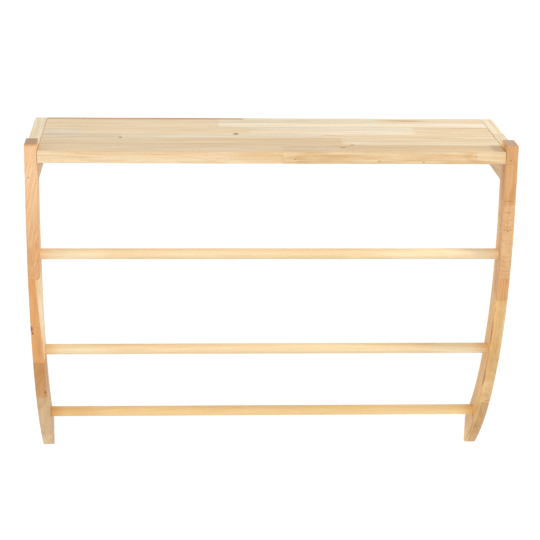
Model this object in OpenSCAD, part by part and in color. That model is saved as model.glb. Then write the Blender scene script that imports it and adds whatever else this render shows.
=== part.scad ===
// Wall rack with a shelf on top and three round rails between two curved side frames.
// X runs to the right, Y towards the wall and Z up. The wall is the plane y = 0.
// The origin is midway between the two wall screws, on the wall.

/* [Overall] */
// Width over the two side frames
rack_w = 800; // [600:10:1000]
// Depth from the wall to the front of the bows
rack_d = 250; // [235:5:252]
// Height from the lower ends of the bows to the top of the shelf
drop_h = 612; // [570:2:620]

/* [Boards] */
// Thickness of the bows and arms, measured across the rack
side_t = 20; // [18:1:26]
// Thickness of the shelf
shelf_t = 20; // [18:1:24]
// Thickness of the wall rail, measured away from the wall
wall_rail_t = 20; // [18:1:26]
// Height of each arm, from its lower edge to the top of the shelf
arm_h = 57; // [54:1:70]
// Radius of the eased edges on every board
edge_r = 1.5; // [0.5:0.5:3]
// Gap between a board's end and the frame that it meets
fit_gap = 0.2; // [0.1:0.1:0.4]

/* [Bows] */
// Radius of the front edge of each bow
bow_r = 655; // [640:5:680]
// Width of a bow, from its front edge to its back edge
bow_w = 44; // [40:1:52]
// Height of the shelf's top above the start of the curve
straight_h = 103; // [90:1:115]
// How far the bows stand above the shelf's top
horn_h = 11; // [6:1:20]

/* [Rails] */
// Diameter of the round rails
rail_d = 18; // [14:1:24]
// How far each rail end goes into its bow
rail_seat = 12; // [8:1:14]
// Angle along the bow from the start of the curve to the upper rail
upper_rail_a = 7; // [6:0.2:10]
// Angle along the bow from the start of the curve to the middle rail
middle_rail_a = 24.6; // [20:0.2:28]
// Angle along the bow from the start of the curve to the lower rail
lower_rail_a = 41.4; // [38:0.2:42.4]

/* [Wooden joint pins] */
// Diameter of the pins in the arm and shelf joints
pin_d = 8; // [6:1:10]
// Length of those pins
pin_l = 30; // [24:2:32]
// Diameter of the pins in the ends of the wall rail
small_pin_d = 6; // [4:1:8]

/* [Wall screws] */
// Distance between the two wall screws
screw_spacing = 600; // [400:10:600]
// Diameter of each screw hole
screw_hole_d = 5.5; // [4.5:0.5:6.5]
// Diameter of each countersink at the face of the rail
screw_head_d = 11; // [9:0.5:13]

/* [Hidden] */

$fn = 96;
LEFT = -1;
RIGHT = 1;

// Space between the inner faces of the two side frames
inner_w = rack_w - 2 * side_t;
// Distance from the middle of the rack to the middle of a side frame's thickness
side_x = (rack_w - side_t) / 2;
// Height of the wall rail, which fills the space under the shelf down to the arms' lower edge
wall_rail_h = arm_h - shelf_t;

// Heights above the wall screws
arm_bottom_z = -wall_rail_h / 2;
shelf_bottom_z = wall_rail_h / 2;
shelf_top_z = shelf_bottom_z + shelf_t;
shelf_mid_z = shelf_bottom_z + shelf_t / 2;
horn_z = shelf_top_z + horn_h;
foot_z = shelf_top_z - drop_h;

// Centre of the circle that both edges of a bow share
curve_y = bow_r - rack_d;
curve_z = shelf_top_z - straight_h;
// Radius of the line midway between those edges, which carries the rails
mid_r = bow_r - bow_w / 2;
bow_front_y = -rack_d;
bow_back_y = bow_front_y + bow_w;

// Turn of the curve down to the foot, and the extra turn that the wall cuts off
foot_a = asin((curve_z - foot_z) / bow_r);
spare_a = 4;

// How deep each pin sits in the side frame and in the end of a board
pin_seat = side_t * 0.6;
pin_reach = pin_l - pin_seat;
// Radial clearance of pins and rails in their bores, and of a pin's end in its bore
bore_clear = 0.05;
end_clear = 0.5;

// Places of the pins: across the shelf's ends, in the arms' front ends and in the wall rail's ends
shelf_pin_bow_y = bow_front_y + 12;
shelf_pin_arm_ys = [-rack_d * 0.62, -rack_d * 0.22];
arm_pin_zs = [arm_bottom_z + arm_h * 0.28, arm_bottom_z + arm_h * 0.72];
small_pin_zs = [-wall_rail_h * 0.25, wall_rail_h * 0.25];

// Larger than any board, for the cuts at the wall and at the foot
cut = 2 * rack_d;
cut_clear = 1;

// A flat rectangle w by h, centred, with round corners
module eased_rectangle(w, h, r = edge_r) {
    square([w - 2 * r, h], center = true);
    square([w, h - 2 * r], center = true);
    for (sx = [-1, 1], sy = [-1, 1])
        translate([sx * (w / 2 - r), sy * (h / 2 - r)])
            circle(r = r, $fn = 24);
}

// A board size[0] by size[1] by size[2], centred, with all twelve edges eased
module eased_board(size) {
    intersection() {
        linear_extrude(size[2], center = true)
            eased_rectangle(size[0], size[1]);
        rotate([90, 0, 0])
            linear_extrude(size[1], center = true)
                eased_rectangle(size[0], size[2]);
        rotate([90, 0, 90])
            linear_extrude(size[0], center = true)
                eased_rectangle(size[1], size[2]);
    }
}

// A straight round bar along X from x1 to x2
module bar_along_x(d, x1, x2, y, z) {
    translate([x1, y, z])
        rotate([0, 90, 0])
            cylinder(d = d, h = x2 - x1);
}

// A straight round bar along Y from y1 to y2
module bar_along_y(d, x, y1, y2, z) {
    translate([x, y1, z])
        rotate([-90, 0, 0])
            cylinder(d = d, h = y2 - y1);
}

// A wooden pin along X through a side frame's inner face, on the given side.
// extra is 0 for the pin, or the end clearance for its bore.
module side_pin(side, d, y, z, extra = 0) {
    face_x = inner_w / 2;
    inner_x = face_x - pin_reach - extra;
    outer_x = face_x + pin_seat + extra;
    x1 = side == RIGHT ? inner_x : -outer_x;
    x2 = side == RIGHT ? outer_x : -inner_x;
    bar_along_x(d, x1, x2, y, z);
}

// A wooden pin along Y through the joint of a bow and its arm
module arm_pin(side, d, z, extra = 0) {
    half = pin_l / 2 + extra;
    bar_along_y(d, side * side_x, bow_back_y - half, bow_back_y + half, z);
}

module shelf_pins(side, d, extra = 0) {
    side_pin(side, d, shelf_pin_bow_y, shelf_mid_z, extra);
    for (y = shelf_pin_arm_ys)
        side_pin(side, d, y, shelf_mid_z, extra);
}

module arm_pins(side, d, extra = 0) {
    for (z = arm_pin_zs)
        arm_pin(side, d, z, extra);
}

module wall_rail_side_pins(side, d, extra = 0) {
    for (z = small_pin_zs)
        side_pin(side, d, -wall_rail_t / 2, z, extra);
}

// A bore is a pin with clearance round it and at its ends
function bore_d(d) = d + 2 * bore_clear;

// Place of a rail that sits at angle a along the bow
function rail_y(a) = curve_y - mid_r * cos(a);
function rail_z(a) = curve_z - mid_r * sin(a);

module rail(a) {
    half = inner_w / 2 + rail_seat - end_clear;
    bar_along_x(rail_d, -half, half, rail_y(a), rail_z(a));
}

module rail_bore(side, a) {
    near = inner_w / 2 - cut_clear;
    far = inner_w / 2 + rail_seat;
    x1 = side == RIGHT ? near : -far;
    x2 = side == RIGHT ? far : -near;
    bar_along_x(bore_d(rail_d), x1, x2, rail_y(a), rail_z(a));
}

// The straight upper end of a bow, from the start of the curve to the horn.
// It is the upper half of an eased board, so only its top edges are eased.
module bow_post(side) {
    post_h = horn_z - curve_z;
    translate([side * side_x, bow_front_y + bow_w / 2, curve_z])
        intersection() {
            eased_board([side_t, bow_w, 2 * post_h]);
            translate([-side_t, -bow_w, 0])
                cube([2 * side_t, 2 * bow_w, 2 * post_h]);
        }
}

// The curved stretch: the same eased section turned about the shared centre
module bow_curve(side) {
    translate([side * side_x, curve_y, curve_z])
        rotate([0, 90, 0])
            rotate([0, 0, -90])
                rotate_extrude(angle = foot_a + spare_a, $fn = 240)
                    translate([mid_r, 0])
                        eased_rectangle(bow_w, side_t);
}

// What the wall and the level foot cut off a bow
module behind_wall_and_below_foot() {
    translate([-rack_w, 0, foot_z - cut])
        cube([2 * rack_w, cut, 2 * cut]);
    translate([-rack_w, -cut, foot_z - cut])
        cube([2 * rack_w, 2 * cut, cut]);
}

module bow(side) {
    difference() {
        union() {
            bow_post(side);
            bow_curve(side);
        }
        behind_wall_and_below_foot();
        for (a = [upper_rail_a, middle_rail_a, lower_rail_a])
            rail_bore(side, a);
        shelf_pins(side, bore_d(pin_d), end_clear);
        arm_pins(side, bore_d(pin_d), end_clear);
    }
}

// The board that carries the shelf's end, from the back edge of the bow to the wall
module arm(side) {
    length = -bow_back_y;
    difference() {
        translate([side * side_x, -length / 2, arm_bottom_z + arm_h / 2])
            eased_board([side_t, length, arm_h]);
        shelf_pins(side, bore_d(pin_d), end_clear);
        arm_pins(side, bore_d(pin_d), end_clear);
        wall_rail_side_pins(side, bore_d(small_pin_d), end_clear);
    }
}

module shelf_board() {
    color("#E3C79C")
        difference() {
            translate([0, -rack_d / 2, shelf_mid_z])
                eased_board([inner_w - 2 * fit_gap, rack_d, shelf_t]);
            for (side = [LEFT, RIGHT])
                shelf_pins(side, bore_d(pin_d), end_clear);
        }
}

// A hole for a wall screw, with a countersink that opens at the rail's front face
module wall_screw_hole(x) {
    sink_h = (screw_head_d - screw_hole_d) / 2;
    translate([x, cut_clear, 0])
        rotate([90, 0, 0])
            cylinder(d = screw_hole_d, h = wall_rail_t + 2 * cut_clear);
    translate([x, -wall_rail_t + sink_h, 0])
        rotate([90, 0, 0])
            cylinder(d1 = screw_hole_d, d2 = screw_head_d, h = sink_h);
}

module wall_rail() {
    color("#DDBB8A")
        difference() {
            translate([0, -wall_rail_t / 2, 0])
                eased_board([inner_w - 2 * fit_gap, wall_rail_t, wall_rail_h]);
            for (side = [LEFT, RIGHT])
                wall_rail_side_pins(side, bore_d(small_pin_d), end_clear);
            for (side = [LEFT, RIGHT])
                wall_screw_hole(side * screw_spacing / 2);
        }
}

module left_bow() {
    color("#E2B580") bow(LEFT);
}

module right_bow() {
    color("#E2B580") bow(RIGHT);
}

module left_arm() {
    color("#DDBD92") arm(LEFT);
}

module right_arm() {
    color("#DDBD92") arm(RIGHT);
}

module upper_rail() {
    color("#E8C894") rail(upper_rail_a);
}

module middle_rail() {
    color("#E8C894") rail(middle_rail_a);
}

module lower_rail() {
    color("#E4BE88") rail(lower_rail_a);
}

module left_arm_pins() {
    color("#CDA877") arm_pins(LEFT, pin_d);
}

module right_arm_pins() {
    color("#CDA877") arm_pins(RIGHT, pin_d);
}

module left_shelf_pins() {
    color("#CDA877") shelf_pins(LEFT, pin_d);
}

module right_shelf_pins() {
    color("#CDA877") shelf_pins(RIGHT, pin_d);
}

module wall_rail_pins() {
    color("#CDA877")
        for (side = [LEFT, RIGHT])
            wall_rail_side_pins(side, small_pin_d);
}

shelf_board();
wall_rail();
left_bow();
right_bow();
left_arm();
right_arm();
upper_rail();
middle_rail();
lower_rail();
left_arm_pins();
right_arm_pins();
left_shelf_pins();
right_shelf_pins();
wall_rail_pins();
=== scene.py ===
"""A wall rack of pale rubberwood: a shelf over three round rails between two curved side frames.

Places are in the row frame. Wood grain is laid out in millimetres, the rest in metres.
"""

import math

import bpy
from mathutils import Matrix, Vector

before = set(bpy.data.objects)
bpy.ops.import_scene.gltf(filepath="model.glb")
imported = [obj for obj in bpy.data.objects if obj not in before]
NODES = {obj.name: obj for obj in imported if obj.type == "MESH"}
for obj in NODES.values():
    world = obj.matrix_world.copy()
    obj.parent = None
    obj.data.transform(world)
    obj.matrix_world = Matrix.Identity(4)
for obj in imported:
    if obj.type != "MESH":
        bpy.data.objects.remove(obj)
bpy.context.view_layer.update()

MM = 0.001
AXES = {"X": 0, "Y": 1, "Z": 2}

# The bows' outline, in mm, as the solids have it
BOW_R = 655
BOW_W = 44
SIDE_T = 20
CURVE_Y = 405
CURVE_Z = -64.5
HORN_Z = 49.5
MID_R = BOW_R - BOW_W / 2
POST_H = HORN_Z - CURVE_Z
INNER_X = 380


def srgb(red, green, blue):
    """A colour written from 0 to 255 as it looks on a screen, in Blender's linear values."""
    def linear(value):
        value /= 255
        return value / 12.92 if value <= 0.04045 else ((value + 0.055) / 1.055) ** 2.4
    return (linear(red), linear(green), linear(blue), 1.0)


TONES = {
    "ivory": srgb(253, 237, 205),
    "cream": srgb(241, 224, 191),
    "wheat": srgb(245, 221, 181),
    "straw": srgb(240, 219, 181),
    "butter": srgb(243, 216, 171),
    "oat": srgb(229, 208, 174),
    "sand": srgb(238, 211, 170),
    "fawn": srgb(233, 207, 165),
    "tan": srgb(232, 204, 160),
    "gold": srgb(250, 213, 152),
    "honey": srgb(236, 190, 140),
    "biscuit": srgb(224, 182, 132),
    "toffee": srgb(229, 190, 132),
    "apricot": srgb(239, 192, 128),
    "cinnamon": srgb(220, 174, 122),
    "dun": srgb(214, 178, 130),
    "umber": srgb(213, 170, 111),
    "copper": srgb(220, 168, 110),
    "russet": srgb(216, 166, 111),
    "amber": srgb(228, 167, 103),
    "chestnut": srgb(210, 157, 97),
}


# Sockets of Blender's Mix node, which has a pair of inputs for each kind of data
MIX_FACTOR = 0
MIX_NUMBERS = (2, 3)
MIX_COLOURS = (6, 7)
MIX_NUMBER_OUT = 0
MIX_COLOUR_OUT = 2


class Graph:
    """Adds shader nodes to a tree. An input is another node's output or a plain value."""

    def __init__(self, tree):
        self.tree = tree

    def add(self, kind, **settings):
        node = self.tree.nodes.new("ShaderNode" + kind)
        for name, value in settings.items():
            setattr(node, name, value)
        return node

    def feed(self, socket, value):
        if isinstance(value, bpy.types.NodeSocket):
            self.tree.links.new(value, socket)
        else:
            socket.default_value = value

    def math(self, operation, *values, clamp=False):
        node = self.add("Math", operation=operation, use_clamp=clamp)
        for socket, value in zip(node.inputs, values):
            self.feed(socket, value)
        return node.outputs[0]

    def vector(self, operation, *values):
        node = self.add("VectorMath", operation=operation)
        for socket, value in zip(node.inputs, values):
            self.feed(socket, value)
        one_number = operation in ("LENGTH", "DOT_PRODUCT", "DISTANCE")
        return node.outputs[1 if one_number else 0]

    def scale(self, vector, factor):
        node = self.add("VectorMath", operation="SCALE")
        self.feed(node.inputs[0], vector)
        self.feed(node.inputs["Scale"], factor)
        return node.outputs[0]

    def split(self, vector):
        node = self.add("SeparateXYZ")
        self.feed(node.inputs[0], vector)
        return list(node.outputs)

    def join(self, x, y, z):
        node = self.add("CombineXYZ")
        for socket, value in zip(node.inputs, (x, y, z)):
            self.feed(socket, value)
        return node.outputs[0]

    def turn(self, vector, axis, angle):
        node = self.add("VectorRotate", rotation_type=axis + "_AXIS")
        self.feed(node.inputs["Vector"], vector)
        self.feed(node.inputs["Angle"], angle)
        return node.outputs[0]

    def total(self, *parts):
        """The sum of values, each times its share."""
        whole = None
        for value, share in parts:
            part = self.math("MULTIPLY", value, share)
            whole = part if whole is None else self.math("ADD", whole, part)
        return whole

    def blend(self, factor, a, b, colour=False):
        node = self.add("Mix", data_type="RGBA" if colour else "FLOAT")
        first, second = MIX_COLOURS if colour else MIX_NUMBERS
        self.feed(node.inputs[MIX_FACTOR], factor)
        self.feed(node.inputs[first], a)
        self.feed(node.inputs[second], b)
        return node.outputs[MIX_COLOUR_OUT if colour else MIX_NUMBER_OUT]

    def tint(self, factor, colour, by):
        """The colour multiplied by another, as far as the factor says."""
        node = self.add("Mix", data_type="RGBA", blend_type="MULTIPLY")
        first, second = MIX_COLOURS
        self.feed(node.inputs[MIX_FACTOR], factor)
        self.feed(node.inputs[first], colour)
        self.feed(node.inputs[second], by)
        return node.outputs[MIX_COLOUR_OUT]

    def noise(self, place, size, detail=2.0, rough=0.5):
        """Noise from 0 to 1 whose features have the given size, in mm, along each axis."""
        node = self.add("TexNoise", noise_dimensions="3D")
        self.feed(node.inputs["Vector"], self.vector("DIVIDE", place, size))
        node.inputs["Scale"].default_value = 1.0
        node.inputs["Detail"].default_value = detail
        node.inputs["Roughness"].default_value = rough
        return node.outputs[0]

    def ramp_up(self, value, low, high):
        """0 below low and 1 above high, with a soft step between."""
        node = self.add("MapRange", interpolation_type="SMOOTHSTEP")
        self.feed(node.inputs["Value"], value)
        self.feed(node.inputs["From Min"], low)
        self.feed(node.inputs["From Max"], high)
        return node.outputs[0]

    def lookup(self, value, stops):
        """Constant colours along a line from 0 to 1. A stop is (place, colour and a fourth number)."""
        node = self.add("ValToRGB")
        self.feed(node.inputs[0], value)
        table = node.color_ramp
        table.interpolation = "CONSTANT"
        table.elements.remove(table.elements[1])
        for index, (place, colour) in enumerate(stops):
            stop = table.elements[0] if index == 0 else table.elements.new(place)
            stop.position = place
            stop.color = colour
        return node.outputs[0], node.outputs[1]


def group_tree(name, inputs, outputs):
    """A new node group, its graph, its input sockets by name and its output node."""
    tree = bpy.data.node_groups.new(name, "ShaderNodeTree")
    for label, kind in inputs.items():
        tree.interface.new_socket(label, in_out="INPUT", socket_type="NodeSocket" + kind)
    for label, kind in outputs.items():
        tree.interface.new_socket(label, in_out="OUTPUT", socket_type="NodeSocket" + kind)
    source = tree.nodes.new("NodeGroupInput")
    result = tree.nodes.new("NodeGroupOutput")
    return tree, Graph(tree), source.outputs, result.inputs


def use_group(graph, tree, **inputs):
    """A node that runs a group. Gives its output sockets by name."""
    node = graph.add("Group", node_tree=tree)
    for name, value in inputs.items():
        graph.feed(node.inputs[name], value)
    return node.outputs


# Layers of the figure: size along, across and through the grain in mm, detail and roughness
LAYERS = {
    "wander": ((230.0, 46.0, 46.0), 1.0, 0.5),
    "rings": ((3.4, 1.0, 0.02), 2.0, 0.62),
    "drift": ((340.0, 26.0, 26.0), 1.0, 0.5),
    "bundles": ((75.0, 2.6, 2.6), 2.0, 0.6),
    "fibres": ((16.0, 0.5, 0.5), 2.0, 0.6),
    "vessels": ((5.5, 0.26, 0.26), 0.0, 0.5),
    "sap": ((130.0, 4.2, 4.2), 1.0, 0.5),
    "flush": ((55.0, 1.9, 1.9), 1.0, 0.5),
    "stripes": ((60.0, 1.5, 1.5), 1.0, 0.5),
    "bands": ((2.8, 44.0, 26.0), 2.0, 0.6),
    "dots": ((1.0, 0.42, 0.42), 1.0, 0.5),
}
# Layers of like size lie at other places of the noise, in mm
LAYER_SHIFTS = {
    "sap": (41.0, 7.0, 83.0),
    "flush": (97.0, 31.0, 13.0),
    "stripes": (5.0, 67.0, 29.0),
}
# Where a layer starts to show and where it shows in full
STEPS = {
    "depth": (0.38, 0.63),
    "vessels": (0.66, 0.74),
    "sap": (0.58, 0.74),
    "heart": (0.42, 0.26),
    "flush": (0.58, 0.74),
    "stripes": (0.44, 0.62),
    "bands": (0.53, 0.68),
    "dots": (0.52, 0.68),
}
# What each layer multiplies the stave's tone by
LAYER_TINTS = {
    "pale": (1.04, 1.08, 1.15, 1.0),
    "deep": (0.88, 0.79, 0.66, 1.0),
    "sap": (1.05, 1.09, 1.16, 1.0),
    "heart": (0.93, 0.89, 0.84, 1.0),
    "flush": (0.985, 0.93, 0.89, 1.0),
    "lines": (0.84, 0.72, 0.61, 1.0),
    "vessels": (0.60, 0.45, 0.32, 1.0),
    "cut": (0.68, 0.58, 0.52, 1.0),
    "cut_rings": (0.82, 0.77, 0.72, 1.0),
    "cut_dots": (0.60, 0.50, 0.42, 1.0),
}
VESSEL_SHARE = 0.45
CUT_DOT_SHARE = 0.5
CUT_BROWN = (0.62, 0.45, 0.30, 1.0)
CUT_BROWN_SHARE = 0.65

# How far a seed moves the noise, in mm
SEED_SHIFT = (911.0, 373.0, 541.0)

# The pith: its distance in mm, its slope along the stave, and how fast a seed turns each
PITH_AWAY = 62.0
PITH_TURN = 40.0
PITH_SLOPE = 0.035
SLOPE_TURN = 71.0

# How wide the rings wander, in mm, and how slowly they change along the stave
WANDER_W = 26.0
RING_CHANGE = 0.004

# How much a band bows through the stave, and how far it follows the rings
BAND_ARC = 0.035
BAND_WANDER = 0.4

# The roughness of smooth wood, and what open vessels and fibres add to it
ROUGHNESS = 0.50
ROUGHER = 0.10


def make_rubberwood():
    """The figure of one stave. Grain is a place in mm with X along the grain. Seed picks another log."""
    tree, g, given, result = group_tree(
        "rubberwood",
        {"Grain": "Vector", "Seed": "Float", "Tone": "Color", "End": "Float", "Figure": "Float"},
        {"Color": "Color", "Roughness": "Float", "Relief": "Float"},
    )
    seed, tone, figure = given["Seed"], given["Tone"], given["Figure"]
    place = g.vector("ADD", given["Grain"], g.scale(SEED_SHIFT, seed))
    along, across, through = g.split(given["Grain"])

    def layer(name, where=place):
        return g.noise(where, *LAYERS[name])

    def shifted_layer(name):
        return layer(name, g.vector("ADD", place, LAYER_SHIFTS[name]))

    # Growth rings lie round a pith that passes beside the stave and leans a little along it
    angle = g.math("MULTIPLY", seed, PITH_TURN)
    slope = g.math("MULTIPLY", g.math("SINE", g.math("MULTIPLY", seed, SLOPE_TURN)), PITH_SLOPE)
    lean = g.math("MULTIPLY", along, slope)
    pith = g.scale(g.join(0.0, g.math("COSINE", angle), g.math("SINE", angle)), PITH_AWAY)
    wander = g.math("MULTIPLY", g.math("SUBTRACT", layer("wander"), 0.5), WANDER_W)
    flat = g.join(0.0, across, through)
    radius = g.math("ADD", g.vector("LENGTH", g.vector("ADD", flat, pith)), g.math("ADD", wander, lean))
    rings = layer("rings", g.join(radius, g.math("MULTIPLY", along, RING_CHANGE), seed))

    # A slow drift of tone, fibre bundles, fine fibres, vessel lines, sap streaks and pink streaks
    drift = layer("drift")
    bundles = layer("bundles")
    fibres = layer("fibres")
    vessels = g.ramp_up(layer("vessels"), *STEPS["vessels"])
    sap = shifted_layer("sap")
    flush = shifted_layer("flush")

    # Stripes run along the grain. Bands cross it, and bow a little through the stave
    stripes = shifted_layer("stripes")
    arc = g.math("MULTIPLY", g.math("MULTIPLY", through, through), BAND_ARC)
    ripple = g.math("ADD", g.math("SUBTRACT", along, arc), g.math("MULTIPLY", wander, BAND_WANDER))
    bands = layer("bands", g.join(ripple, across, g.math("ADD", through, seed)))

    depth = g.total((rings, 0.42), (bundles, 0.30), (drift, 0.20), (fibres, 0.08))
    depth = g.ramp_up(depth, *STEPS["depth"])
    pale = g.tint(1.0, tone, LAYER_TINTS["pale"])
    deep = g.tint(1.0, tone, LAYER_TINTS["deep"])
    colour = g.blend(depth, pale, deep, colour=True)
    colour = g.tint(g.ramp_up(sap, *STEPS["sap"]), colour, LAYER_TINTS["sap"])
    colour = g.tint(g.ramp_up(sap, *STEPS["heart"]), colour, LAYER_TINTS["heart"])
    colour = g.tint(g.ramp_up(flush, *STEPS["flush"]), colour, LAYER_TINTS["flush"])
    how_striped = g.math("MAXIMUM", g.math("MULTIPLY", figure, -1.0), 0.0)
    how_banded = g.math("MAXIMUM", figure, 0.0)
    striped = g.math("MULTIPLY", g.ramp_up(stripes, *STEPS["stripes"]), how_striped)
    banded = g.math("MULTIPLY", g.ramp_up(bands, *STEPS["bands"]), how_banded)
    colour = g.tint(g.math("ADD", striped, banded), colour, LAYER_TINTS["lines"])
    colour = g.tint(g.math("MULTIPLY", vessels, VESSEL_SHARE), colour, LAYER_TINTS["vessels"])

    # End grain drinks more finish: it is darker, with the vessels as dots
    dots = g.ramp_up(layer("dots", g.join(0.0, across, through)), *STEPS["dots"])
    cut = g.blend(CUT_BROWN_SHARE, g.tint(1.0, tone, LAYER_TINTS["cut"]), CUT_BROWN, colour=True)
    cut = g.tint(rings, cut, LAYER_TINTS["cut_rings"])
    cut = g.tint(g.math("MULTIPLY", dots, CUT_DOT_SHARE), cut, LAYER_TINTS["cut_dots"])
    g.feed(result["Color"], g.blend(given["End"], colour, cut, colour=True))

    added = g.math("MULTIPLY", g.math("ADD", vessels, fibres), ROUGHER)
    g.feed(result["Roughness"], g.math("ADD", ROUGHNESS, added))
    g.feed(result["Relief"], g.total((fibres, 0.25), (rings, 0.15), (vessels, -0.8)))
    return tree


RUBBERWOOD = make_rubberwood()

# A stave's seed, from 0 to 1: where it starts, and its step from stave to stave and from row to row
FIRST_SEED = 0.1
SEED_STEP = 0.381966
ROW_SEED_STEP = 0.271
LEAST_SEED_CHANGE = 0.001

# A stave's lay is held in a colour, whose numbers run from 0 to 1
LAY_ANGLE = 90
LAY_FIGURE = 1


class Stave:
    """One stave of a row: where it ends along the row, in mm, its tone and how its grain lies.

    lean turns the grain in the plane of the panel and skew across it, in degrees. figure runs from -1,
    striped along the grain, to 1, banded across it.
    """

    def __init__(self, end, tone, lean=0.0, skew=0.0, figure=0.0):
        self.end = end
        self.tone = tone
        self.lean = lean
        self.skew = skew
        self.figure = figure


def held(value, limit):
    """A value from -limit to limit as one from 0 to 1."""
    return value / (2 * limit) + 0.5


def stave_group(name, start, rows):
    """A node group that finds the stave at a place: Along and Across in mm. A row is (far side, staves)."""
    tree, g, given, result = group_tree(
        name, {"Along": "Float", "Across": "Float"},
        {"Tone": "Color", "Seed": "Float", "Lay": "Color"},
    )
    end = max(stave.end for _, staves in rows for stave in staves)
    share = g.math("DIVIDE", g.math("SUBTRACT", given["Along"], start), end - start, clamp=True)
    tone = seed = lay = None
    reached = start
    for number, (far_side, staves) in enumerate(rows):
        places = [0.0] + [(stave.end - start) / (end - start) for stave in staves[:-1]]
        tones, lays = [], []
        for index, (place, stave) in enumerate(zip(places, staves)):
            own_seed = (FIRST_SEED + SEED_STEP * (index + 1) + ROW_SEED_STEP * number) % 1.0
            tones.append((place, (*TONES[stave.tone][:3], own_seed)))
            lean, skew = held(stave.lean, LAY_ANGLE), held(stave.skew, LAY_ANGLE)
            lays.append((place, (lean, skew, held(stave.figure, LAY_FIGURE), 1.0)))
        row_tone, row_seed = g.lookup(share, tones)
        row_lay, _ = g.lookup(share, lays)
        if number == 0:
            tone, seed, lay = row_tone, row_seed, row_lay
        else:
            beyond = g.math("GREATER_THAN", given["Across"], reached)
            tone = g.blend(beyond, tone, row_tone, colour=True)
            seed = g.blend(beyond, seed, row_seed)
            lay = g.blend(beyond, lay, row_lay, colour=True)
        reached = far_side
    g.feed(result["Tone"], tone)
    g.feed(result["Seed"], seed)
    g.feed(result["Lay"], lay)
    return tree


def zigzag(g, along, across, pitch, depth):
    """The place along a row, moved to and fro by the fingers of its end joints."""
    wave = g.math("PINGPONG", across, pitch / 2)
    finger = g.math("MULTIPLY", g.math("SUBTRACT", wave, pitch / 4), depth / (pitch / 2))
    return g.math("ADD", along, finger)


def read_staves(g, staves, along, across, line_w):
    """The stave at a place, and 1 where a glue line runs."""
    here = use_group(g, staves, Along=along, Across=across)
    next_along = g.math("ADD", along, line_w)
    next_across = g.math("ADD", across, line_w)
    beside = use_group(g, staves, Along=next_along, Across=next_across)
    change = g.math("ABSOLUTE", g.math("SUBTRACT", here["Seed"], beside["Seed"]))
    return here, g.math("GREATER_THAN", change, LEAST_SEED_CHANGE)


# A mark starts at its edge, and shows in full within this share of its half sizes
MARK_FADE = (1.0, 0.25)


def marks(g, place, spots):
    """1 in the middle of a knot or streak, 0 away from it. A spot is (centre, half sizes), in mm."""
    found = 0.0
    for centre, reach in spots:
        away = g.vector("LENGTH", g.vector("DIVIDE", g.vector("SUBTRACT", place, centre), reach))
        found = g.math("MAXIMUM", found, g.ramp_up(away, *MARK_FADE))
    return found


def new_material(name):
    """An empty node material and its graph."""
    material = bpy.data.materials.new(name)
    material.use_nodes = True
    material.node_tree.nodes.clear()
    return material, Graph(material.node_tree)


def place_in_mm(g):
    """The place in the row frame in mm, and the direction that the surface faces."""
    coords = g.add("TexCoord")
    return g.scale(coords.outputs["Object"], 1 / MM), coords.outputs["Normal"]


# The height of the grain's relief
RELIEF_DEPTH = 0.12 * MM


def finish_wood(g, figure, colour, glue=0.0):
    """Surface shader: the figure's colour, roughness and relief under a thin satin finish."""
    shader = g.add("BsdfPrincipled")
    g.feed(shader.inputs["Base Color"], colour)
    g.feed(shader.inputs["Roughness"], figure["Roughness"])
    shader.inputs["Specular IOR Level"].default_value = 0.4
    shader.inputs["Coat Weight"].default_value = 0.05
    shader.inputs["Coat Roughness"].default_value = 0.3
    bump = g.add("Bump")
    bump.inputs["Strength"].default_value = 0.35
    bump.inputs["Distance"].default_value = RELIEF_DEPTH
    g.feed(bump.inputs["Height"], g.math("SUBTRACT", figure["Relief"], glue))
    g.feed(shader.inputs["Normal"], bump.outputs[0])
    output = g.add("OutputMaterial")
    g.feed(output.inputs["Surface"], shader.outputs[0])


# Cosines of the angle between a face and the grain
END_GRAIN_STEP = (0.72, 0.96)


def end_grain(g, slant):
    """1 where a face looks along the grain. slant is the normal's part along the grain."""
    return g.ramp_up(g.math("ABSOLUTE", slant), *END_GRAIN_STEP)


def lay_grain(g, vector, lay_sockets):
    """Turns a place or normal, with X along the grain, by a stave's lean and skew."""
    lean, skew = lay_sockets
    return g.turn(g.turn(vector, "Z", lean), "Y", skew)


def lay_angles(g, lay):
    """The angles of a stave's lean and skew, and its figure, from the colour that holds them."""
    lean, skew, figure = (g.math("SUBTRACT", value, 0.5) for value in g.split(lay))
    angles = [g.math("MULTIPLY", value, math.radians(2 * LAY_ANGLE)) for value in (lean, skew)]
    return angles, g.math("MULTIPLY", figure, 2.0 * LAY_FIGURE)


# Glue lines: their tint, how strong it is, and the size in mm of the patches where they show more
GLUE_TINT = (0.62, 0.48, 0.36, 1.0)
GLUE_SHARE = 0.75
GLUE_PATCH = (60.0, 60.0, 60.0)
GLUE_STEP = (0.40, 0.62)
GLUE_LEAST = 0.35


def glue_lines(g, place, line):
    """Glue lines that show here and there, as the photo has them."""
    seen = g.ramp_up(g.noise(place, GLUE_PATCH), *GLUE_STEP)
    shown = g.math("ADD", GLUE_LEAST, g.math("MULTIPLY", seen, 1.0 - GLUE_LEAST))
    return g.math("MULTIPLY", line, shown)


def add_glue(g, glue, colour):
    """The colour with the glue lines over it."""
    return g.tint(g.math("MULTIPLY", glue, GLUE_SHARE), colour, GLUE_TINT)


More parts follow.
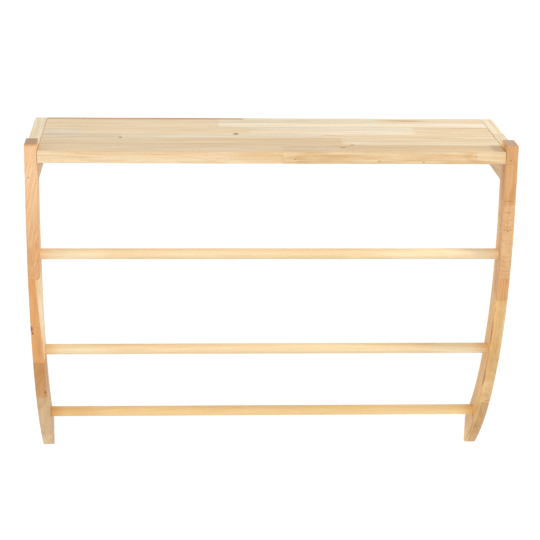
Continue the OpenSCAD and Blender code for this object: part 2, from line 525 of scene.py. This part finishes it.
# What knots and streaks multiply the wood's colour by
KNOT_TINT = (0.38, 0.25, 0.17, 1.0)
STREAK_TINTS = {
    "pale": (1.05, 1.10, 1.18, 1.0),
    "sap": (1.11, 1.19, 1.30, 1.0),
    "grey": (0.96, 1.01, 1.12, 1.0),
    "shade": (0.78, 0.66, 0.53, 1.0),
    "warm": (0.95, 0.89, 0.80, 1.0),
    "dusk": (0.80, 0.79, 0.74, 1.0),
    "brown": (0.78, 0.62, 0.48, 1.0),
    "bark": (0.52, 0.36, 0.25, 1.0),
}


def add_marks(g, place, colour, spots=(), streaks=None):
    """Adds knots and streaks. Streaks are lists of spots by the name of their tint."""
    for kind, places in (streaks or {}).items():
        colour = g.tint(marks(g, place, places), colour, STREAK_TINTS[kind])
    return g.tint(marks(g, place, spots), colour, KNOT_TINT)


# Finger joints: the width and length of a finger, and the width of a glue line, in mm
PANEL_FINGER = (4.6, 7.0)
PANEL_GLUE_W = 0.4
BOW_FINGER = (4.9, 9.0)
BOW_GLUE_W = 0.5


def panel_wood(name, order, start, rows, spots=(), streaks=None):
    """Edge-glued staves. order names the axes along the staves, across the rows and through the panel."""
    material, g = new_material(name)
    place, normal = place_in_mm(g)
    staves = stave_group(name + "_staves", start, rows)
    parts = g.split(place)
    along, across, through = (parts[AXES[axis]] for axis in order)
    facing = g.split(normal)
    fingers = zigzag(g, along, across, *PANEL_FINGER)
    here, line = read_staves(g, staves, fingers, across, PANEL_GLUE_W)
    angles, kind = lay_angles(g, here["Lay"])
    grain = lay_grain(g, g.join(along, across, through), angles)
    slant, _, _ = g.split(lay_grain(g, g.join(*(facing[AXES[axis]] for axis in order)), angles))
    figure = use_group(
        g, RUBBERWOOD, Grain=grain, Seed=here["Seed"], Tone=here["Tone"],
        End=end_grain(g, slant), Figure=kind
    )
    glue = glue_lines(g, place, line)
    colour = add_marks(g, place, add_glue(g, glue, figure["Color"]), spots, streaks)
    finish_wood(g, figure, colour, glue)
    return material


def bow_place(g, place):
    """Places in mm: along a bow from its horn's top round the curve, across it from the front, and X."""
    x, y, z = g.split(place)
    fall = g.math("SUBTRACT", CURVE_Z, z)
    back = g.math("SUBTRACT", CURVE_Y, y)
    turned = g.math("MAXIMUM", g.math("ARCTAN2", fall, back), 0.0)
    above = g.math("MAXIMUM", g.math("SUBTRACT", z, CURVE_Z), 0.0)
    along = g.math("ADD", g.math("SUBTRACT", POST_H, above), g.math("MULTIPLY", turned, MID_R))
    below = g.math("MAXIMUM", fall, 0.0)
    reach = g.vector("LENGTH", g.join(back, below, 0.0))
    return along, g.math("SUBTRACT", BOW_R, reach), x


def bow_wood(name, side, split, outer_rows, inner_rows, spots, streaks):
    """A bow of two layers. Rows run round the curve. Marks have places (x, across, along).

    split is the layers' border, in mm from the outer face, at two places along the bow.
    """
    material, g = new_material(name)
    place, normal = place_in_mm(g)
    along, across, x = bow_place(g, place)
    depth = g.math("SUBTRACT", INNER_X + SIDE_T, g.math("MULTIPLY", x, side))
    fingers = zigzag(g, along, across, *BOW_FINGER)
    found = []
    for layer, rows in (("outer", outer_rows), ("inner", inner_rows)):
        staves = stave_group(f"{name}_{layer}", 0.0, rows)
        found.append(read_staves(g, staves, fingers, across, BOW_GLUE_W))
    (first_along, first_depth), (last_along, last_depth) = split
    slope = (last_depth - first_depth) / (last_along - first_along)
    border = g.math("ADD", g.math("MULTIPLY", along, slope), first_depth - slope * first_along)
    inner = g.math("GREATER_THAN", depth, g.math("MAXIMUM", border, first_depth))
    (outer_here, outer_line), (inner_here, inner_line) = found
    tone = g.blend(inner, outer_here["Tone"], inner_here["Tone"], colour=True)
    seed = g.blend(inner, outer_here["Seed"], inner_here["Seed"])
    lay = g.blend(inner, outer_here["Lay"], inner_here["Lay"], colour=True)
    line = g.blend(inner, outer_line, inner_line)
    angles, kind = lay_angles(g, lay)
    _, y, z = g.split(place)
    nx, ny, nz = g.split(normal)
    grain = lay_grain(g, g.join(z, y, g.math("SUBTRACT", x, side * (INNER_X + SIDE_T / 2))), angles)
    slant, _, _ = g.split(lay_grain(g, g.join(nz, ny, nx), angles))
    figure = use_group(
        g, RUBBERWOOD, Grain=grain, Seed=seed, Tone=tone, End=end_grain(g, slant), Figure=kind
    )
    glue = glue_lines(g, place, line)
    colour = add_glue(g, glue, figure["Color"])
    colour = add_marks(g, g.join(x, across, along), colour, spots, streaks)
    finish_wood(g, figure, colour, glue)
    return material


# How much of the figure a rail shows, and where the painted shade at its ends starts and is full, in mm
# from the middle
RAIL_FIGURE_SHARE = 0.45
RAIL_SHADE_FROM = 350.0
RAIL_SHADE_FULL = 382.0
NO_TINT = (1.0, 1.0, 1.0, 1.0)


def rail_wood(name, tone, seed, ends=NO_TINT, streaks=None):
    """A turned rail of even wood, with its grain along X. ends is painted shade: a tint that darkens and
    warms it towards its joints, where the bows shade it.
    """
    material, g = new_material(name)
    place, normal = place_in_mm(g)
    facing, _, _ = g.split(normal)
    figure = use_group(
        g, RUBBERWOOD, Grain=place, Seed=seed, Tone=TONES[tone], End=end_grain(g, facing), Figure=0.0
    )
    colour = g.blend(RAIL_FIGURE_SHARE, TONES[tone], figure["Color"], colour=True)
    x, _, _ = g.split(place)
    # Painted shade: the rail darkens and warms towards its joints, where the bows shade it
    joint_shade_mask = g.ramp_up(g.math("ABSOLUTE", x), RAIL_SHADE_FROM, RAIL_SHADE_FULL)
    colour = g.tint(joint_shade_mask, colour, ends)
    colour = add_marks(g, place, colour, streaks=streaks)
    finish_wood(g, figure, colour)
    return material


def dress(node, material):
    """Puts a material on a CAD node in place of its plain one."""
    slots = NODES[node].data.materials
    slots.clear()
    slots.append(material)


# The shelf's top and front faces, in mm, where its marks lie
SHELF_TOP = 38.5
SHELF_FRONT = -250

# Shelf: rows from the front edge to the wall, staves from left to right. A row is (its far side,
# staves), and a mark is (centre, half sizes).
SHELF_ROWS = [
    (-201, [Stave(16, "sand"), Stave(INNER_X, "tan", figure=-0.5)]),
    (-152, [Stave(116, "fawn"), Stave(INNER_X, "straw")]),
    (-123, [Stave(-250, "oat"), Stave(90, "cream"), Stave(INNER_X, "wheat")]),
    (-96, [Stave(-35, "wheat"), Stave(248, "ivory"), Stave(INNER_X, "wheat")]),
    (-70, [Stave(-35, "wheat"), Stave(248, "cream"), Stave(INNER_X, "wheat")]),
    (-38, [Stave(-85, "wheat"), Stave(220, "ivory"), Stave(INNER_X, "ivory")]),
    (-13, [Stave(-85, "wheat"), Stave(195, "cream"), Stave(INNER_X, "wheat")]),
    (0, [Stave(-40, "copper"), Stave(INNER_X, "ivory")]),
]
SHELF_SPOTS = [
    ((-56, -123, SHELF_TOP), (7, 10, 3)),
    ((116, -219, SHELF_TOP), (7, 4, 3)),
    ((133, -201, SHELF_TOP), (5, 4, 3)),
    ((-249, -150, SHELF_TOP), (5, 5, 3)),
    ((36, SHELF_FRONT, 26.4), (2.5, 2, 1.1)),
    ((173, SHELF_FRONT, 23.6), (4, 2, 0.9)),
    ((245, SHELF_FRONT, 21.9), (2.5, 2, 1.2)),
    ((330, SHELF_FRONT, 30.7), (1.8, 2, 0.9)),
]
SHELF_STREAKS = {
    "pale": [
        ((-348, -102, SHELF_TOP), (42, 4, 6)),
        ((-316, -161, SHELF_TOP), (58, 5, 6)),
        ((170, -45, SHELF_TOP), (120, 5, 6)),
        ((-120, -140, SHELF_TOP), (150, 5, 6)),
    ],
    "grey": [
        ((-200, -226, SHELF_TOP), (130, 25, 12)),
        ((-65, -226, SHELF_TOP), (130, 25, 12)),
        ((60, -226, SHELF_TOP), (110, 25, 12)),
        ((-350, -105, SHELF_TOP), (70, 42, 10)),
    ],
    "warm": [
        ((34, SHELF_FRONT, 28.5), (30, 3, 30)),
    ],
    "brown": [
        ((240, -19, SHELF_TOP), (58, 8, 2)),
        ((-10, -122, SHELF_TOP), (75, 0.9, 2)),
        ((120, -70, SHELF_TOP), (130, 0.9, 2)),
        ((-150, -4, SHELF_TOP), (110, 3.5, 4)),
    ],
}

dress("shelf_board", panel_wood("shelf_panel", "XYZ", -INNER_X, SHELF_ROWS, SHELF_SPOTS, SHELF_STREAKS))

# Wall rail: rows from the lower edge up, staves from left to right
dress("wall_rail", panel_wood("wall_rail_panel", "XZY", -INNER_X, [
    (0, [Stave(-120, "sand"), Stave(210, "straw"), Stave(INNER_X, "tan")]),
    (19, [Stave(-250, "straw"), Stave(60, "wheat"), Stave(INNER_X, "sand")]),
]))

# Arms: rows from the lower edge up, staves from the bow to the wall
ARM_FRONT = -206
ARM_ROWS = {
    "left_arm": [
        (8, [Stave(-96, "sand"), Stave(0, "wheat")]),
        (40, [Stave(0, "ivory")]),
    ],
    "right_arm": [
        (8, [Stave(-132, "sand"), Stave(0, "tan")]),
        (40, [Stave(-115, "straw"), Stave(0, "ivory")]),
    ],
}
for node, rows in ARM_ROWS.items():
    dress(node, panel_wood(node + "_panel", "YZX", ARM_FRONT, rows))

# Bows: rows from the front edge to the back edge, staves from the horn's top down. A stave ends at a
# place on the way round the curve. A mark's place is (x, across, along).
BOW_END = 680
LEFT_HEAD = Stave(222, "honey", skew=14, figure=-0.65)
LEFT_OUTER = [
    (24, [
        LEFT_HEAD,
        Stave(392, "amber", lean=17, skew=4),
        Stave(481, "chestnut", lean=25, skew=20, figure=-0.5),
        Stave(BOW_END, "dun", lean=39),
    ]),
    (44, [
        Stave(180, "sand"),
        Stave(420, "biscuit", lean=17),
        Stave(BOW_END, "umber", lean=37),
    ]),
]
LEFT_INNER = [
    (24, [
        LEFT_HEAD,
        Stave(350, "wheat", lean=15),
        Stave(480, "sand", lean=25),
        Stave(BOW_END, "dun", lean=39),
    ]),
    (44, [
        Stave(180, "sand"),
        Stave(330, "straw", lean=13),
        Stave(BOW_END, "fawn", lean=34),
    ]),
]
LEFT_SPLIT = [(222, 11.6), (392, 20.0)]
LEFT_SPOTS = [
    ((-394, 0, 55), (1.3, 3, 2.2)),
    ((-399, 0, 322), (4.2, 6, 8)),
    ((-397, 0, 331), (2.6, 4, 4)),
    ((-383.5, 0, 473), (2.0, 4, 7)),
]
LEFT_STREAKS = {
    "sap": [((-390, 10, 20), (60, 40, 100)), ((-390, 0, 655), (40, 50, 50))],
    "warm": [
        ((-390, 0, 214), (60, 60, 80)),
        # Painted shade: the next two marks darken the inner face, which the key lamp on the right lights
        ((-380, 22, 110), (3, 60, 190)),
        ((-380, 22, 650), (3, 60, 90)),
    ],
    "shade": [((-390, 22, 0), (40, 60, 5))],
    "brown": [((-380, 18, 445), (2.5, 1.8, 60))],
}
RIGHT_HEAD = [
    Stave(24, "russet", skew=-16, figure=-0.6),
    Stave(93, "russet", skew=3, figure=-0.6),
    Stave(222, "cinnamon", figure=0.85),
    Stave(262, "copper", lean=12, figure=-0.7),
]
RIGHT_OUTER = [
    (24, [
        *RIGHT_HEAD,
        Stave(503, "toffee", lean=22),
        Stave(BOW_END, "umber", lean=41, skew=-12, figure=-0.3),
    ]),
    (44, [
        Stave(130, "honey"),
        Stave(330, "sand", lean=12),
        Stave(520, "toffee", lean=28),
        Stave(BOW_END, "biscuit", lean=41),
    ]),
]
RIGHT_INNER = [
    (24, [
        *RIGHT_HEAD,
        Stave(503, "apricot", lean=22),
        Stave(BOW_END, "apricot", lean=41),
    ]),
    (44, [
        Stave(130, "apricot"),
        Stave(330, "apricot", lean=12),
        Stave(520, "apricot", lean=28),
        Stave(BOW_END, "toffee", lean=41),
    ]),
]
RIGHT_SPLIT = [(93, 13.0), (BOW_END, 15.0)]
RIGHT_SPOTS = [
    ((388, 0, 25), (2.2, 3, 1.3)),
    ((390, 0, 144), (1.4, 3, 1.6)),
    ((380, 32, 124), (2, 2, 7)),
    ((396, 0, 422), (1.3, 3, 1.4)),
]
RIGHT_STREAKS = {
    "sap": [((390, 0, 668), (40, 50, 40))],
    "pale": [((392, 0, 62), (3, 4, 26)), ((386, 0, 470), (7, 8, 24))],
    "dusk": [((381, 0, down), (9, 5, 52)) for down in (545, 595, 640)],
    "brown": [
        ((380, 3.5, 398), (5, 4.5, 66)),
        ((380, 10, 572), (4, 11, 16)),
        ((390, 0, 93), (12, 4, 1.4)),
        ((390, 0, 112), (11, 4, 1.1)),
        ((390, 0, 141), (11, 4, 1.1)),
    ],
    "bark": [
        ((380, 3, 332), (3.8, 4.4, 42)),
        ((380.5, 2, 440), (3.0, 3.4, 34)),
        ((395, 0, 503), (6, 3, 1.3)),
    ],
}
dress("left_bow", bow_wood(
    "left_bow_wood", -1, LEFT_SPLIT, LEFT_OUTER, LEFT_INNER, LEFT_SPOTS, LEFT_STREAKS
))
dress("right_bow", bow_wood(
    "right_bow_wood", 1, RIGHT_SPLIT, RIGHT_OUTER, RIGHT_INNER, RIGHT_SPOTS, RIGHT_STREAKS
))

# Rails: painted shade makes their ends, where they meet the bows, darker and warmer than their middles
dress("upper_rail", rail_wood("upper_rail_wood", "butter", 0.17, (0.97, 0.91, 0.83, 1.0), {
    "pale": [
        ((-322, -223, -142), (70, 60, 60)),
        ((260, -223, -142), (120, 60, 60)),
        # Painted light: this mark lightens the rail's right end, where the right bow shades it from the key
        # lamp
        ((365, -223, -142), (80, 60, 60)),
    ],
}))
dress("middle_rail", rail_wood("middle_rail_wood", "butter", 0.53, (0.90, 0.80, 0.66, 1.0), {
    # The mark at x 322 is painted light: it lightens the rail's right end, where the right bow shades it
    # from the key lamp
    "pale": [((-322, -170, -328), (70, 60, 60)), ((322, -170, -328), (60, 60, 60))],
}))
dress("lower_rail", rail_wood("lower_rail_wood", "gold", 0.81, (0.84, 0.72, 0.52, 1.0), {
    "warm": [((-345, -70, -483), (70, 60, 60))],
    # Painted light: this mark lightens the rail towards its right end, which the right bow shades from the
    # key lamp
    "pale": [((300, -70, -483), (150, 60, 60))],
}))

# Joint pins, which only show when the rack comes apart
PIN_NODES = sorted(name for name in NODES if name.endswith("pins"))
for number, node in enumerate(PIN_NODES):
    dress(node, rail_wood(node + "_wood", "tan", 0.3 + 0.1 * number))


# Camera, at the photograph's angle. It has no shift, because the other views would keep it.
CAMERA_PLACE = (-0.159, -2.981, 0.7)
CAMERA_DOWN = math.radians(17.48)
CAMERA_RIGHT = math.radians(3.29)
CAMERA_ROLL = math.radians(0.95)
FOCAL_PIXELS = 1740
FRAME_PIXELS = 540
SENSOR = 36.0


def make_camera():
    """The camera, turned to the right, down and a little round its own axis."""
    data = bpy.data.cameras.new("camera")
    data.sensor_width = SENSOR
    data.lens = SENSOR * FOCAL_PIXELS / FRAME_PIXELS
    camera = bpy.data.objects.new("camera", data)
    turn = (
        Matrix.Rotation(-CAMERA_RIGHT, 4, "Z")
        @ Matrix.Rotation(math.pi / 2 - CAMERA_DOWN, 4, "X")
        @ Matrix.Rotation(CAMERA_ROLL, 4, "Z")
    )
    camera.matrix_world = Matrix.Translation(CAMERA_PLACE) @ turn
    bpy.context.collection.objects.link(camera)
    bpy.context.scene.camera = camera


def seen_directly(g):
    """1 for camera, glossy and transmission rays, which see the background as white."""
    rays = g.add("LightPath").outputs
    seen = g.math("MAXIMUM", rays["Is Camera Ray"], rays["Is Glossy Ray"])
    return g.math("MAXIMUM", seen, rays["Is Transmission Ray"])


WHITE = (1.0, 1.0, 1.0, 1.0)


def make_world(ambient):
    """Even light from all round, behind which the camera sees white."""
    world = bpy.data.worlds.new("studio")
    world.use_nodes = True
    world.node_tree.nodes.clear()
    g = Graph(world.node_tree)
    light = g.add("Background")
    light.inputs["Color"].default_value = WHITE
    g.feed(light.inputs["Strength"], g.blend(seen_directly(g), ambient, 1.0))
    output = g.add("OutputWorld")
    g.feed(output.inputs["Surface"], light.outputs[0])
    bpy.context.scene.world = world


FLOOR_Z = -1.35
FLOOR_HALF = 30.0
FLOOR_COLOUR = (0.85, 0.85, 0.85, 1.0)

# What the camera sees on top of the floor's own light: near the rack, and further off where less
# light falls, so that the floor is white all over
GLOW_NEAR = 0.34
GLOW_FAR = 0.48
GLOW_CHANGE = (1.5, 5.0)


def make_floor():
    """A pale floor that is clear from below, so the rack's underside can be looked at too."""
    mesh = bpy.data.meshes.new("floor")
    corners = [(-1, -1), (1, -1), (1, 1), (-1, 1)]
    points = [(x * FLOOR_HALF, y * FLOOR_HALF, FLOOR_Z) for x, y in corners]
    mesh.from_pydata(points, [], [(0, 1, 2, 3)])
    floor = bpy.data.objects.new("floor", mesh)
    bpy.context.collection.objects.link(floor)
    material, g = new_material("pale_floor")
    matt = g.add("BsdfDiffuse")
    matt.inputs["Color"].default_value = FLOOR_COLOUR
    glow = g.add("Emission")
    away = g.vector("LENGTH", g.add("TexCoord").outputs["Object"])
    level = g.blend(g.ramp_up(away, *GLOW_CHANGE), GLOW_NEAR, GLOW_FAR)
    g.feed(glow.inputs["Strength"], g.math("MULTIPLY", seen_directly(g), level))
    both = g.add("AddShader")
    g.feed(both.inputs[0], matt.outputs[0])
    g.feed(both.inputs[1], glow.outputs[0])
    clear = g.add("BsdfTransparent")
    one_sided = g.add("MixShader")
    g.feed(one_sided.inputs[0], g.add("NewGeometry").outputs["Backfacing"])
    g.feed(one_sided.inputs[1], both.outputs[0])
    g.feed(one_sided.inputs[2], clear.outputs[0])
    output = g.add("OutputMaterial")
    g.feed(output.inputs["Surface"], one_sided.outputs[0])
    mesh.materials.append(material)


LAMP_TARGET = Vector((0.0, -0.1, -0.2))


def make_lamp(name, azimuth, elevation, distance, size, level):
    """A square soft lamp aimed at the rack. Azimuth 0 is in front and 90 on the right, in degrees.

    level is the light on a face turned to the lamp: at 1 its colour renders as it is written.
    """
    a, e = math.radians(azimuth), math.radians(elevation)
    away = Vector((math.sin(a) * math.cos(e), -math.cos(a) * math.cos(e), math.sin(e)))
    data = bpy.data.lights.new(name, "AREA")
    data.size = size
    data.energy = level * (math.pi * distance) ** 2
    lamp = bpy.data.objects.new(name, data)
    lamp.location = LAMP_TARGET + away * distance
    lamp.rotation_euler = away.to_track_quat("Z", "Y").to_euler()
    bpy.context.collection.objects.link(lamp)


make_camera()
make_world(ambient=0.65)
make_floor()
make_lamp("key", azimuth=70, elevation=27, distance=2.7, size=0.36, level=0.45)
make_lamp("front_fill", azimuth=-6, elevation=2, distance=3.6, size=1.4, level=0.20)
make_lamp("left_fill", azimuth=-75, elevation=24, distance=3.6, size=1.2, level=0.22)
bpy.context.scene.view_settings.view_transform = "Standard"
